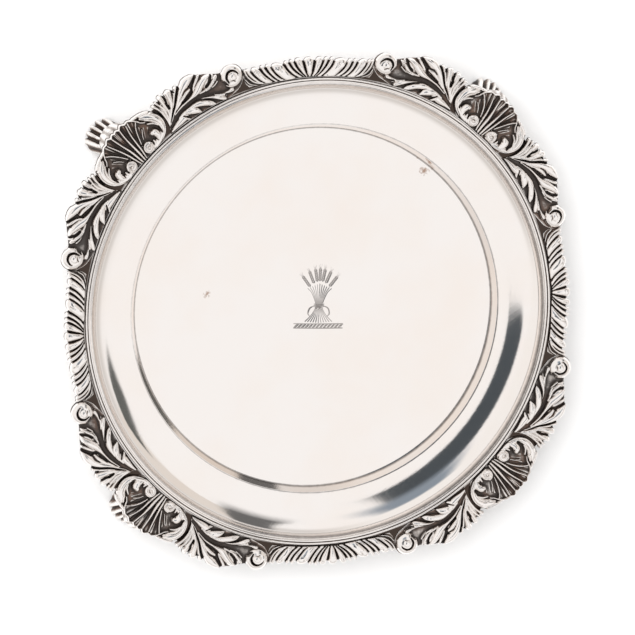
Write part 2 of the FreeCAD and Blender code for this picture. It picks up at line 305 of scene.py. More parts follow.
def leaf_relief(x, y):
    """The leaf spray right of a shell: an outer and an inner acanthus leaf, and the end scroll."""
    relief = Relief(x, y, 0.45)
    relief.lay([
        [(18.2, 108.2, 0.6, 1.4), (21.2, 112.6, 2.1, 2.3), (23.4, 116.6, 3.4, 2.6),
         (25.0, 118.6, 3.6, 2.5)],
        [(23.0, 110.6, 0.6, 1.6), (29.0, 114.2, 2.2, 2.4), (36.0, 115.6, 3.2, 2.5),
         (40.0, 115.4, 2.6, 2.2)],
        [(30.0, 110.4, 0.8, 1.6), (36.0, 110.6, 2.2, 2.3), (42.0, 110.2, 3.2, 2.3),
         (45.5, 109.2, 2.8, 2.0)],
    ], 0.35)
    outer_leaf = [
        [(17.8, 107.6, 0.4, 1.6), (19.9, 111.0, 0.75, 2.4), (20.8, 114.5, 0.9, 2.9),
         (20.8, 117.5, 1.0, 3.0), (20.0, 120.0, 1.1, 2.9)],
        [(18.3, 108.2, 0.4, 1.7), (20.8, 111.2, 0.65, 2.6), (22.2, 114.5, 0.8, 3.0),
         (22.3, 117.8, 0.85, 3.2), (21.9, 120.4, 0.85, 3.0)],
        [(18.8, 108.6, 0.4, 1.8), (21.8, 111.4, 0.7, 2.8), (23.5, 114.0, 0.85, 3.2),
         (23.8, 117.3, 1.0, 3.4), (24.5, 120.2, 1.15, 3.2)],
        [(20.0, 109.4, 0.4, 2.0), (23.2, 111.9, 0.8, 2.9), (26.0, 114.6, 1.2, 3.4),
         (27.6, 117.2, 1.6, 3.6), (28.8, 119.2, 1.8, 3.3)],
        [(22.0, 110.5, 0.3, 1.9), (26.0, 113.0, 0.6, 2.8), (29.3, 116.0, 0.9, 3.1),
         (32.4, 118.2, 1.2, 2.9)],
        [(18.4, 107.9, 0.3, 1.7), (22.5, 110.2, 0.6, 2.5), (26.5, 112.2, 0.6, 2.7)],
        [(24.0, 110.6, 0.5, 2.2), (27.6, 112.6, 1.1, 3.1), (31.2, 114.7, 1.9, 3.6),
         (35.0, 116.0, 2.5, 3.8), (38.4, 116.2, 2.2, 3.6), (41.6, 115.7, 1.0, 2.8)],
        [(26.0, 111.2, 0.5, 2.4), (30.0, 112.4, 1.0, 3.2), (33.5, 113.2, 1.3, 3.4),
         (36.6, 112.9, 0.8, 3.0)],
        [(34.5, 111.8, 0.5, 1.6), (38.0, 112.2, 0.9, 2.4), (41.2, 113.2, 1.1, 2.7),
         (43.2, 113.9, 0.8, 2.4)],
        [(24.0, 109.9, 0.4, 2.0), (29.0, 110.4, 0.7, 2.8), (33.5, 109.9, 1.1, 3.3),
         (37.5, 109.7, 1.9, 3.7), (41.3, 110.6, 2.0, 3.7), (44.4, 111.0, 1.5, 3.4),
         (46.6, 110.5, 0.7, 2.8)],
        [(35.0, 107.8, 0.45, 2.2), (39.0, 107.4, 1.0, 3.1), (42.5, 106.7, 1.1, 3.1),
         (45.6, 107.3, 1.2, 3.0), (48.2, 107.9, 0.9, 2.6)],
        [(42.0, 105.3, 0.3, 1.9), (44.5, 105.5, 0.5, 2.4), (47.0, 105.9, 0.5, 2.2)],
    ]
    inner_leaf = [
        [(16.0, 106.3, 0.35, 1.6), (19.5, 106.3, 1.0, 2.5), (23.0, 106.2, 1.7, 3.0),
         (25.8, 105.9, 1.9, 3.1), (27.0, 104.2, 1.2, 2.4)],
        [(24.0, 107.6, 0.6, 2.6), (27.6, 107.2, 1.4, 3.3), (30.6, 105.3, 2.0, 3.4),
         (32.0, 103.4, 1.4, 3.0), (32.4, 102.2, 0.8, 2.4)],
        [(29.0, 107.7, 0.6, 2.8), (33.5, 106.0, 1.6, 3.3), (36.6, 103.6, 1.8, 3.4),
         (38.4, 101.3, 1.5, 3.0), (39.2, 99.6, 0.8, 2.2)],
        [(36.5, 105.6, 0.5, 2.6), (39.8, 103.2, 1.0, 3.1), (42.3, 100.6, 1.4, 3.2),
         (44.0, 98.2, 1.1, 2.7)],
        [(42.0, 102.6, 0.4, 2.2), (44.4, 100.2, 0.8, 2.8), (46.4, 98.9, 1.2, 2.8),
         (49.0, 98.3, 1.2, 2.8)],
    ]
    relief.lay(outer_leaf + inner_leaf, 0.46)
    scroll = (53.0, 102.4)
    relief.boss(scroll, 5.3, 3.5, 3)
    relief.boss((52.8, 102.0), 2.6, 4.1, 3)
    relief.cut([
        [(50.0, 101.6, 0.28, 1.6), (50.7, 103.8, 0.38, 2.6), (52.8, 104.9, 0.42, 2.8),
         (54.9, 104.0, 0.36, 2.4), (55.7, 101.9, 0.28, 1.5), (55.4, 100.8, 0.2, 0.5)],
        [(51.0, 101.6, 0.2, 0.5), (52.0, 100.9, 0.24, 0.9), (52.4, 99.9, 0.2, 0.5)],
        [(17.6, 107.6, 0.3, 1.2), (22.0, 108.8, 0.42, 2.2), (27.0, 109.4, 0.5, 2.6),
         (32.0, 109.1, 0.6, 2.8), (36.0, 107.9, 0.7, 2.8), (40.0, 105.9, 0.8, 2.8),
         (44.0, 104.0, 1.2, 2.8), (46.6, 102.6, 1.5, 3.0)],
        [(24.3, 114.2, 0.40, 2.4), (24.8, 116.2, 0.38, 2.6), (25.8, 118.2, 0.38, 2.8),
         (26.5, 121.0, 0.45, 2.8)],
        [(22.7, 118.6, 0.25, 1.4), (23.0, 120.8, 0.5, 2.2)],
        [(21.2, 116.0, 0.16, 0.7), (21.2, 120.8, 0.2, 1.2)],
        [(30.5, 117.6, 0.30, 1.8), (31.2, 119.8, 0.6, 2.4)],
        [(20.5, 109.2, 0.22, 1.0), (24.0, 111.3, 0.36, 1.6), (28.0, 113.9, 0.42, 1.8),
         (31.5, 116.5, 0.45, 1.9), (35.5, 118.6, 0.5, 1.8)],
        [(30.2, 111.5, 0.40, 2.4), (33.0, 111.3, 0.40, 2.4), (36.0, 111.5, 0.45, 2.4),
         (38.0, 113.3, 0.50, 2.4), (40.0, 114.3, 0.50, 2.2), (42.2, 115.3, 0.35, 2.0)],
        [(37.0, 114.0, 0.30, 1.4), (38.0, 113.4, 0.5, 1.6)],
        [(42.3, 108.0, 0.42, 2.0), (44.4, 108.3, 0.45, 2.0), (46.2, 109.4, 0.5, 2.0),
         (47.8, 110.8, 0.45, 2.0)],
        [(40.5, 107.0, 0.18, 0.7), (43.5, 106.2, 0.2, 0.8), (46.5, 106.8, 0.2, 0.8),
         (48.6, 108.6, 0.25, 0.8)],
        [(32.5, 113.9, 0.3, 0.5), (34.6, 114.4, 0.35, 0.7), (36.4, 113.9, 0.3, 0.7)],
        [(25.8, 106.9, 0.2, 1.0), (27.4, 104.6, 0.45, 2.4), (29.2, 102.8, 0.6, 2.8),
         (30.8, 101.6, 0.5, 2.6)],
        [(32.9, 104.5, 0.15, 0.8), (33.8, 102.4, 0.55, 2.4), (35.2, 100.8, 0.5, 2.6),
         (36.2, 99.8, 0.3, 1.6)],
        [(36.5, 105.7, 0.35, 1.8), (38.3, 104.0, 0.38, 2.2), (40.0, 101.6, 0.45, 2.4),
         (40.9, 99.2, 0.65, 2.6), (41.6, 97.6, 0.5, 2.4)],
        [(45.6, 99.0, 0.5, 2.0), (47.4, 97.3, 0.6, 2.6), (49.8, 95.7, 0.7, 2.8)],
        [(48.4, 103.0, 0.6, 2.6), (49.0, 101.4, 0.4, 1.6)],
        [(48.6, 106.2, 0.4, 1.6), (50.2, 107.4, 0.3, 1.0)],
        [(38.0, 101.6, 0.5, 0.4), (38.9, 100.2, 0.5, 0.5)],
        [(27.6, 106.6, 0.5, 0.35), (28.6, 106.2, 0.5, 0.35)],
    ])
    return relief.z


def fan_edge(x):
    """How far out the fan reaches: it is crowned in the middle."""
    return 116.5 - 0.13 * x


def fan_line(x):
    """The line between two fan lobes that ends at x on the outer edge, from the inner edge out."""
    lean = 6.3 * min(1, x / 9)
    foot_x = x - lean
    foot_y = 107.5 - 0.09 * foot_x
    rise = fan_edge(x) - foot_y
    return [(foot_x, foot_y), (x - 0.65 * lean, foot_y + 0.2 * rise),
            (x - 0.27 * lean, foot_y + 0.52 * rise), (x, foot_y + 0.92 * rise)]


def fan_relief(x, y):
    """The gadroon fan of a side: wide lobes and pairs of reeds that lean away from its middle."""
    relief = Relief(np.abs(x), y, 0.5)
    wide = [(-2.6, 2.6, 3.2), (2.9, 6.6, 3.3), (12.0, 17.4, 3.6), (22.6, 26.6, 3.4)]
    reeds = [(7.0, 9.1, 3.0), (9.4, 11.6, 3.0), (17.8, 20.0, 3.0), (20.3, 22.3, 3.0),
             (26.9, 28.6, 2.6)]
    breadths = (0.48, 0.54, 0.58, 0.58)
    rises = (0.7, 0.95, 1.05, 1.0)
    for first, last, height in wide + reeds:
        rows = []
        for near, far, breadth, rise in zip(fan_line(first), fan_line(last), breadths, rises):
            half = max(0.3, (far[0] - near[0]) * breadth)
            rows.append([(near[0] + far[0]) / 2, (near[1] + far[1]) / 2, half, height * rise])
        rows[-1][1] = fan_edge((abs(first) + last) / 2) - rows[-1][2]
        relief.lay([rows], 0.44)
    strands = [
        [(19.5, 105.2, 0.35, 1.6), (24.4, 106.2, 0.5, 2.2), (27.6, 108.8, 0.55, 2.5),
         (29.3, 112.2, 0.6, 2.5)],
        [(23.2, 104.7, 0.3, 1.4), (26.8, 105.7, 0.4, 1.9), (28.8, 107.8, 0.4, 1.8)],
    ]
    relief.lay(strands, 0.45)
    relief.cut([[(1.3, 109.2, 0.20, 1.2), (1.9, 111.2, 0.34, 1.9), (2.8, 115.2, 0.50, 2.2)]])
    for end in (6.8, 9.25, 11.8, 17.6, 20.15, 22.45, 26.75):
        rows = [(px, py, 0.20 + 0.05 * k, 1.3 + 0.3 * k) for k, (px, py) in enumerate(fan_line(end))]
        relief.cut([rows])
    for middle in (5.2, 14.2, 24.2):
        top = fan_edge(middle) - 2.2
        relief.cut([[(middle - 0.5, top, 0.3, 0.6), (middle - 1.4, top - 1.7, 0.25, 0.3)]])
    return relief.z


# ---------------------------------------------------------------- meshes

def patch(bottom, right, top, left):
    """A grid of plan points that fills four edges: bottom and top run left to right, sides upwards."""
    rows, columns = len(left), len(bottom)
    u = np.linspace(0, 1, columns)[None, :, None]
    v = np.linspace(0, 1, rows)[:, None, None]
    across = (1 - v) * bottom[None] + v * top[None]
    upward = (1 - u) * left[:, None] + u * right[:, None]
    corners = (1 - u) * (1 - v) * bottom[0] + u * (1 - v) * bottom[-1]
    corners = corners + (1 - u) * v * top[0] + u * v * top[-1]
    grid = across + upward - corners
    return grid[..., 0], grid[..., 1]


def blur(values, radius):
    """A grid of values blurred by a bell curve, radius in grid steps."""
    reach = int(3 * radius)
    bell = np.exp(-0.5 * (np.arange(-reach, reach + 1) / radius) ** 2)
    bell /= bell.sum()
    padded = np.pad(values, reach, mode="edge")
    padded = np.apply_along_axis(lambda line: np.convolve(line, bell, "valid"), 0, padded)
    return np.apply_along_axis(lambda line: np.convolve(line, bell, "valid"), 1, padded)


def edge_distance(x, y):
    """How far each grid point is from the nearest edge of its grid, along the grid's own lines."""
    down = np.hypot(np.diff(x, axis=0), np.diff(y, axis=0))
    down = np.vstack([np.zeros((1, x.shape[1])), np.cumsum(down, axis=0)])
    side = np.hypot(np.diff(x, axis=1), np.diff(y, axis=1))
    side = np.hstack([np.zeros((x.shape[0], 1)), np.cumsum(side, axis=1)])
    return np.minimum(np.minimum(down, down[-1] - down), np.minimum(side, side[:, -1:] - side))


def mesh_object(name, points, faces, attributes):
    """A smooth-shaded object in metres from millimetre points, with float attributes on its points."""
    mesh = bpy.data.meshes.new(name)
    mesh.from_pydata((np.asarray(points) * MM).tolist(), [], faces)
    for key, values in attributes.items():
        layer = mesh.attributes.new(key, "FLOAT", "POINT")
        layer.data.foreach_set("value", np.asarray(values, np.float32))
    mesh.validate()
    mesh.shade_smooth()
    piece = bpy.data.objects.new(name, mesh)
    bpy.context.scene.collection.objects.link(piece)
    return piece


def grid_faces(rows, columns):
    """Quads of a grid whose points are numbered row by row, facing up."""
    r, c = np.meshgrid(np.arange(rows - 1), np.arange(columns - 1), indexing="ij")
    first = (r * columns + c).ravel()
    return np.stack([first, first + 1, first + columns + 1, first + columns], 1).tolist()


def follow_tips(relief, x, y, level, depth):
    """Draws the last rows of a grid in to the outermost height of its relief, for a lobed outline."""
    height = relief(x, y)
    rows = len(x)
    row = np.arange(rows)[:, None]
    reach = np.hypot(np.diff(x, axis=0), np.diff(y, axis=0)).sum(axis=0)
    last = np.where(height > level, row, 0).max(axis=0)
    last = np.maximum(last, (rows - 1) * (1 - depth / reach))
    last = blur(np.vstack([last] * 2), 1.5)[0]
    hinge = (rows - 1) * 0.55
    row = np.where(row < hinge, row, hinge + (row - hinge) * (last - hinge) / (rows - 1 - hinge))
    low = np.minimum(row.astype(int), rows - 2)
    part = row - low
    column = np.arange(x.shape[1])[None, :]
    return [grid[low, column] * (1 - part) + grid[low + 1, column] * part for grid in (x, y)]


class Casting:
    """One ornament's relief over its outline, ready to be placed as many times as it repeats."""

    EDGE = 0.6
    FOOTING = 0.35
    TIP_LEVEL = 1.5
    TIP_DEPTH = 2.4

    def __init__(self, relief, bottom, right, top, left):
        plan = patch(bottom, right, top, left)
        self.x, self.y = follow_tips(relief, *plan, self.TIP_LEVEL, self.TIP_DEPTH)
        height = relief(self.x, self.y)
        edge = np.clip(edge_distance(self.x, self.y) / self.EDGE, 0, 1)
        round_over = np.sqrt(np.clip(1 - (1 - edge) ** 2, 0, 1))
        self.z = self.FOOTING + np.maximum(height - self.FOOTING, 0.1) * round_over
        # Broad hollows, narrow creases and the low ground are darkened: tarnish there, together with
        # painted shade.
        hollow = blur(self.z, 6) - self.z
        crease = blur(self.z, 2) - self.z
        depth = np.clip((1.9 - self.z) / 1.6, 0, 1) * np.clip(edge * 1.5, 0.3, 1)
        self.tarnish_and_shade = np.clip(0.68 * hollow + 0.90 * crease + 0.47 * depth, 0, 1)

    def place(self, name, degrees, mirrored, seed, darkness_scale):
        """The casting as a closed solid on the flange, a little uneven and turned about the axis."""
        chance = np.random.default_rng(seed)
        phase = chance.uniform(0, 2 * math.pi, 4)
        x = self.x + 0.10 * np.sin(0.45 * self.y + phase[0]) + 0.06 * np.sin(0.9 * self.x + phase[1])
        y = self.y + 0.10 * np.sin(0.40 * self.x + phase[2])
        z = self.z * (1 + 0.05 * np.sin(0.30 * self.x + 0.2 * self.y + phase[3]))
        side = -1 if mirrored else 1
        angle = math.radians(degrees)
        turned_x = side * x * math.cos(angle) - y * math.sin(angle)
        turned_y = side * x * math.sin(angle) + y * math.cos(angle)
        top = np.stack([turned_x, turned_y, FLANGE_Z + z], -1).reshape(-1, 3)
        rows, columns = x.shape
        index = np.arange(rows * columns).reshape(rows, columns)
        ring = np.concatenate([index[0], index[1:, -1], index[-1, -2::-1], index[-2:0:-1, 0]])
        base = top[ring].copy()
        base[:, 2] = FLANGE_Z
        faces = grid_faces(rows, columns)
        count = len(ring)
        start = len(top)
        for k in range(count):
            after = (k + 1) % count
            faces.append([start + k, start + after, int(ring[after]), int(ring[k])])
        faces.append([start + k for k in range(count)][::-1])
        if mirrored:
            faces = [face[::-1] for face in faces]
        # The casting's sides are darkened as painted shade where they meet the flange.
        tarnish_and_shade = np.concatenate([self.tarnish_and_shade.ravel() * darkness_scale, np.full(count, 0.9)])
        return mesh_object(name, np.vstack([top, base]), faces, {"tarnish_and_shade": tarnish_and_shade})


def shell_casting():
    """The corner shell in its outline: curled sides and a lobed lip."""
    right = even([(12.5, 106.0), (15.6, 108.0), (18.3, 110.6), (19.25, 114.2), (18.9, 117.6),
                  (17.6, 120.6)], 120)
    half_top = [(17.6, 120.6), (15.5, 122.3), (12.5, 123.6), (10.2, 124.2), (8.2, 125.2), (5.8, 125.5),
                (4.1, 126.5), (2.5, 125.7), (1.3, 126.3), (0, 126.0)]
    whole_top = [(-x, y) for x, y in half_top] + half_top[-2::-1]
    top = even(whole_top, 260)
    left = right * (-1, 1)
    limit = math.degrees(math.atan2(12.5, 106.0))
    bottom = arc(math.hypot(12.5, 106.0), -limit, limit, 260)
    return Casting(shell_relief, bottom, right, top, left)


def leaf_casting():
    """The leaf spray in its outline, from beside the shell to the end of its scroll."""
    left = even([(16.4, 105.5), (18.0, 108.0), (19.3, 111.2), (19.85, 114.5), (19.75, 117.5),
                 (18.9, 120.6)], 112)
    top = even([(18.9, 120.6), (20.3, 121.5), (21.9, 121.6), (24.6, 121.8), (26.4, 121.0), (28.8, 121.4),
                (31.0, 120.0), (33.0, 119.7), (35.5, 118.9), (38.5, 118.8), (41.6, 117.0), (44.2, 114.9),
                (46.8, 111.9), (49.2, 109.0), (52.2, 107.9), (55.4, 107.0)], 300)
    right = even([(55.6, 97.2), (57.9, 99.6), (58.4, 102.6), (57.6, 105.0), (55.4, 107.0)], 112)
    inner = arc(CASTING_INNER, 8.9, 25.0, 12).tolist()
    bottom = even(inner + [(48.5, 96.2), (52.0, 96.0), (55.6, 97.2)], 300)
    return Casting(leaf_relief, bottom, right, top, left)


def fan_casting():
    """The gadroon fan in its outline, which meets the bead ring along its inner edge."""
    right = even([(27.2, 104.2), (28.9, 106.4), (29.5, 109.5), (29.9, 112.7)], 64)
    half_top = [(29.9, 112.7), (25.0, 113.6), (20.0, 114.2), (15.0, 115.0), (10.0, 115.6), (5.0, 116.3),
                (0, 116.9)]
    top = even([(-x, y) for x, y in half_top] + half_top[-2::-1], 380)
    left = right * (-1, 1)
    bottom = even([(-27.2, 104.2), (-14.0, 105.75), (0, 106.75), (14.0, 105.75), (27.2, 104.2)], 380)
    return Casting(fan_relief, bottom, right, top, left)


# ---------------------------------------------------------------- spun and lofted pieces

def flange_radius(angles):
    """The flange's edge at angles in degrees: it swells under the shells and leaf sprays."""
    rows = [(-8, 121.6)] + FLANGE_EDGE + [(52, 113.4)]
    fine = smooth(rows, 400)
    folded = np.abs((angles + 45) % 90 - 45)
    return np.interp(np.abs(folded - 45), fine[:, 0], fine[:, 1])


def rounded(corners, radius, steps=6):
    """A profile with its inner corners rounded by short curves."""
    rows = [corners[0]]
    for before, corner, after in zip(corners, corners[1:], corners[2:]):
        before, corner, after = np.array(before), np.array(corner), np.array(after)
        back, ahead = before - corner, after - corner
        cut = min(radius, 0.45 * np.linalg.norm(back), 0.45 * np.linalg.norm(ahead))
        start = corner + back / np.linalg.norm(back) * cut
        end = corner + ahead / np.linalg.norm(ahead) * cut
        for part in np.linspace(0, 1, steps):
            rows.append((1 - part) ** 2 * start + 2 * part * (1 - part) * corner + part ** 2 * end)
    rows.append(corners[-1])
    return np.array([np.array(row, float) for row in rows])


def spin_faces(rings, segments):
    """Quads between rings of points, numbered ring by ring."""
    r, c = np.meshgrid(np.arange(rings - 1), np.arange(segments), indexing="ij")
    after = (c + 1) % segments
    first = r * segments
    return np.stack([(first + c).ravel(), (first + segments + c).ravel(),
                     (first + segments + after).ravel(), (first + after).ravel()], 1).tolist()


def dish_profile():
    """Radius and height of the dish's upper face: field, upright wall, curved band and lip."""
    step = 0.2
    band = np.arange(BAND_START, BAND_END + 0.01, step)
    slope = np.tan(np.radians(np.interp(band, *np.array(SLOPES, float).T)))
    rise = np.concatenate([[0], np.cumsum((slope[1:] + slope[:-1]) / 2 * step)])
    bottom = BAND_INNER[1] + 0.1
    top = FLANGE_Z - 0.05
    rise = bottom + rise * (top - bottom) / rise[-1]
    thinned = np.concatenate([np.arange(0, 66, 4), np.arange(66, len(band))])
    corners = [(FIELD_EDGE, FIELD_Z), (WALL_FOOT, FIELD_Z), BAND_INNER, (BAND_START, bottom)]
    rows = even(rounded(corners, 0.5, 4), 34).tolist()
    rows += list(zip(band[thinned], rise[thinned]))[1:]
    rows += [(103.2, FLANGE_Z + 0.05), (103.45, FLANGE_Z + 0.02), (103.65, FLANGE_Z - 0.10),
             (103.9, FLANGE_Z - 0.10), (104.2, FLANGE_Z)]
    return rows


def flange_rings(edge, parts, height):
    """Rings across the flange, each a part of the way from its round inside out to its edge."""
    return [(FLANGE_INNER + (edge - FLANGE_INNER) * part, height) for part in parts]


def under_rings(profile, edge):
    """Rings of the sheet's under face, from the flange's edge in to the middle."""
    low = FLANGE_Z - SHEET
    rings = [(edge, FLANGE_Z - SHEET / 2)]
    rings += flange_rings(edge, (0.97, 0.5), low)
    rings += [(104.6, low), (103.9, low - 0.3)]
    rings += [(r + 0.30, z - SHEET) for r, z in profile[-12:33:-4]]
    rings += [(85.0, BAND_INNER[1] - SHEET), (WALL_FOOT + 0.8, FIELD_Z - SHEET + 0.2)]
    rings += [(r, FIELD_Z - SHEET) for r in (81.5, 60.0, 30.0, 1.0)]
    return rings


def dish_tarnish_and_shade(radius, theta):
    """Dark tarnish lines in the dish's creases, made darker towards the shaded side as painted shade,
    and the flange darkened as painted shade between the castings.
    """
    # Painted shade: the flange is darkened where it shows between the castings.
    tarnish_and_shade = np.clip((radius - FLANGE_INNER - 0.2) / 0.6, 0, 1)
    shaded = 0.5 + 0.5 * np.cos(theta - math.radians(SHADED_SIDE))
    for place, width, low, high in SEAMS:
        line = (low + (high - low) * shaded) * np.exp(-((radius - place) / width) ** 2)
        tarnish_and_shade = np.maximum(tarnish_and_shade, line)
    return tarnish_and_shade


def tray_plate():
    """The dish and flange as one closed sheet, with the engraved device in the middle of its field."""
    angles = np.arange(SEGMENTS) * 360 / SEGMENTS
    theta = np.radians(angles)
    edge = flange_radius(angles) - FLANGE_TRIM
    profile = dish_profile()
    rings = [(r, FIELD_Z) for r in np.arange(ENGRAVED_STEP, ENGRAVED_RADIUS, ENGRAVED_STEP)]
    engraved = len(rings)
    rings += [(r, FIELD_Z) for r in np.arange(24.0, 79.0, 3.0)]
    rings += profile
    rings += flange_rings(edge, (0.0, 0.1, 0.5, 0.97), FLANGE_Z)
    upper = len(rings)
    rings += under_rings(profile, edge)
    radius = np.array([r + 0 * theta for r, z in rings])
    height = np.array([z + 0 * theta for r, z in rings])
    x = radius * np.cos(theta)
    y = radius * np.sin(theta)
    ink = np.zeros_like(x)
    ink[:engraved] = engraving(x[:engraved], y[:engraved])
    height -= 0.08 * ink
    tarnish_and_shade = dish_tarnish_and_shade(radius, theta)
    tarnish_and_shade[upper:] = 0.1
    points = np.stack([x, y, height], -1).reshape(-1, 3)
    centre_top = len(points)
    centre_bottom = centre_top + 1
    points = np.vstack([points, [[0, 0, FIELD_Z], [0, 0, FIELD_Z - SHEET]]])
    faces = spin_faces(len(rings), SEGMENTS)
    last = (len(rings) - 1) * SEGMENTS
    for k in range(SEGMENTS):
        after = (k + 1) % SEGMENTS
        faces.append([centre_top, k, after])
        faces.append([centre_bottom, last + after, last + k])
    return mesh_object("salver_plate", points, faces,
                       {"tarnish_and_shade": np.append(tarnish_and_shade.ravel(), [0, 0]),
                        "ink": np.append(ink.ravel(), [ink[0].mean(), 0])})


def line_ink(x, y, stroke):
    """How deeply a tapering engraved line marks each point."""
    relief = Relief(x, y, 0.0)
    near, distance, width, height = relief.nearest(stroke, 0.6)
    relief.z[near] = height * np.exp(-(distance / width) ** 2)
    return relief.z


def ear(root, lean, length):
    """One ear of wheat: grains in pairs up a stalk, and the beard beyond them."""
    def onward(place, angle, distance):
        return place[0] + distance * math.sin(angle), place[1] + distance * math.cos(angle)

    strokes = []
    for grain in range(5):
        foot_of_grain = onward(root, lean, length * grain / 6)
        for side in (-1, 1):
            belly = onward(foot_of_grain, lean + side * 0.55, 0.8)
            tip = onward(foot_of_grain, lean + side * 0.3, 1.5)
            strokes.append([(*foot_of_grain, 0.20, 0.8), (*belly, 0.34, 1.0), (*tip, 0.14, 0.8)])
    beard = onward(root, lean, length * 0.8)
    for spread in (-0.3, 0.0, 0.3):
        strokes.append([(*beard, 0.16, 0.8), (*onward(beard, lean + spread, 2.6), 0.10, 0.5)])
    return strokes


def engraving(x, y):
    """A bound wheat sheaf standing on a twisted bar, as depths from 0 to 1."""
    turn = math.radians(CREST_TURN)
    dx, dy = x - CREST_CENTRE[0], y - CREST_CENTRE[1]
    u = dx * math.cos(turn) + dy * math.sin(turn)
    v = dy * math.cos(turn) - dx * math.sin(turn)
    strokes = []
    for stalk in np.linspace(-1, 1, 11):
        strokes.append([(6.2 * stalk, 1.6 + 0.5 * abs(stalk), 0.20, 0.9), (3.0 * stalk, 5.6, 0.18, 0.8),
                        (1.5 * stalk, 9.6, 0.17, 0.9), (3.4 * stalk, 15.0, 0.18, 0.8),
                        (5.4 * stalk, 19.4 - 2.2 * abs(stalk), 0.18, 0.8)])
    for lean in (-0.62, -0.38, -0.17, 0.0, 0.17, 0.38, 0.62):
        root = (7.2 * lean, 20.6 - 6.4 * lean * lean)
        strokes += ear(root, 1.05 * lean, 6.4)
    for rise in (8.9, 9.5, 10.1):
        strokes.append([(-2.2, rise, 0.2, 0.9), (0, rise - 0.4, 0.26, 1.0), (2.2, rise, 0.2, 0.9)])
    for side in (-1, 1):
        strokes.append([(side * 1.8, 9.4, 0.2, 0.9), (side * 4.2, 8.2, 0.3, 1.0),
                        (side * 4.9, 5.8, 0.28, 1.0), (side * 3.8, 4.2, 0.16, 0.8)])
    strokes.append([(-11.2, 1.1, 0.22, 0.9), (0, 1.0, 0.22, 0.9), (11.2, 1.1, 0.22, 0.9)])
    strokes.append([(-11.2, -0.9, 0.26, 1.0), (0, -1.0, 0.26, 1.0), (11.2, -0.9, 0.26, 1.0)])
    for start in np.linspace(-11.2, 9.2, 13):
        for gap, width in ((0.0, 0.24), (0.55, 0.16)):
            strokes.append([(start + gap, -0.9, width, 0.9), (start + gap + 0.8, 0.1, width + 0.05, 1.0),
                            (start + gap + 1.8, 1.0, width, 0.9)])
    ink = np.zeros_like(x)
    for stroke in strokes:
        ink = np.maximum(ink, line_ink(u, v, stroke))
    return ink


def reed(inner, outer, half_width, foot_height, rise, start):
    """Radius and height over the rounded top of one reed."""
    middle = (inner + outer) / 2
    return [(middle - half_width * math.cos(a), FLANGE_Z + foot_height + rise * math.sin(a))
            for a in np.linspace(start, math.pi, 9)]


def rim_moulding():
    """The bead ring: two fine reeds side by side, dark in the valleys beside them with tarnish and
    painted shade.
    """
    section = [(BEAD_INNER, FLANGE_Z)]
    section += reed(BEAD_INNER, BEAD_SPLIT, 0.55, 0.55, 0.75, 0)
    section += reed(BEAD_SPLIT, BEAD_OUTER, 0.57, 0.8, 1.0, 0.15)
    section += [(BEAD_OUTER, FLANGE_Z)]
    theta = np.radians(np.arange(SEGMENTS) * 360 / SEGMENTS)
    wobble = 0.04 * np.sin(7 * theta + 1.0) + 0.03 * np.sin(13 * theta)
    rings, stain_and_shade = [], []
    for r, z in section:
        lift = z + (wobble if z > FLANGE_Z + 0.5 else 0)
        rings.append(np.stack([r * np.cos(theta), r * np.sin(theta), lift + 0 * theta], -1))
        # The valleys beside the reeds are darkened as tarnish with painted shade.
        valley = math.exp(-((r - BEAD_SPLIT) / 0.14) ** 2) + math.exp(-((r - BEAD_OUTER) / 0.15) ** 2)
        foot_stain = 0.5 if z < FLANGE_Z + 0.4 else 0
        stain_and_shade.append(np.full(SEGMENTS, min(1.0, 0.75 * valley + foot_stain)))
    faces = spin_faces(len(rings), SEGMENTS)
    last = (len(rings) - 1) * SEGMENTS
    for k in range(SEGMENTS):
        after = (k + 1) % SEGMENTS
        faces.append([last + k, k, after, last + after])
    return mesh_object("bead_ring", np.concatenate(rings), faces, {"tarnish_and_shade": np.concatenate(stain_and_shade)})


def foot(name, degrees, lean):
    """A cast foot: a smooth knuckle under the shell that spreads into fluted toes."""
    rows = smooth(FOOT_ROWS, 120)
    count = 260
    phi = np.linspace(0, 2 * math.pi, count, endpoint=False)
    front = np.clip(np.cos(phi) * 2.2 + 0.5, 0, 1)
    valley = np.sin(math.pi * np.sin(phi) * TOES / 2) ** 2
    rings, stain_and_shade = [], []
    for height, inner, outer, width in rows:
        height = min(max(height, 0.0), FOOT_TOP)
        toe = np.clip((13.6 - height) / 2.6, 0, 1)
        notch = 2.0 * toe * front * valley ** 1.4
        knuckle = 0.25 * (1 - toe) * front * valley
        x = (width / 2) * np.sin(phi) * (1 - 0.04 * notch) + lean * (1 - height / FOOT_TOP)
        y = (inner + outer) / 2 + ((outer - inner) / 2 - notch - knuckle) * np.cos(phi)
        rings.append(np.stack([x, y, np.full(count, height)], -1))
        # The flutes and knuckle valleys are darkened as tarnish with painted shade, and the band under
        # the knuckle's overhang at the front is painted shade.
        under = math.exp(-((height - 13.2) / 0.7) ** 2)
        stain_and_shade.append(np.clip(0.46 * notch + 1.2 * knuckle + 0.5 * under * front + 0.14, 0, 1))
    angle = math.radians(degrees)
    turn = np.array([[math.cos(angle), math.sin(angle), 0],
                     [-math.sin(angle), math.cos(angle), 0],
                     [0, 0, 1]])
    faces = spin_faces(len(rings), count)
    faces.append(list(range(count))[::-1])
    last = (len(rings) - 1) * count
    faces.append([last + k for k in range(count)])
    return mesh_object(name, np.concatenate(rings) @ turn, faces, {"tarnish_and_shade": np.concatenate(stain_and_shade)})


# ---------------------------------------------------------------- materials

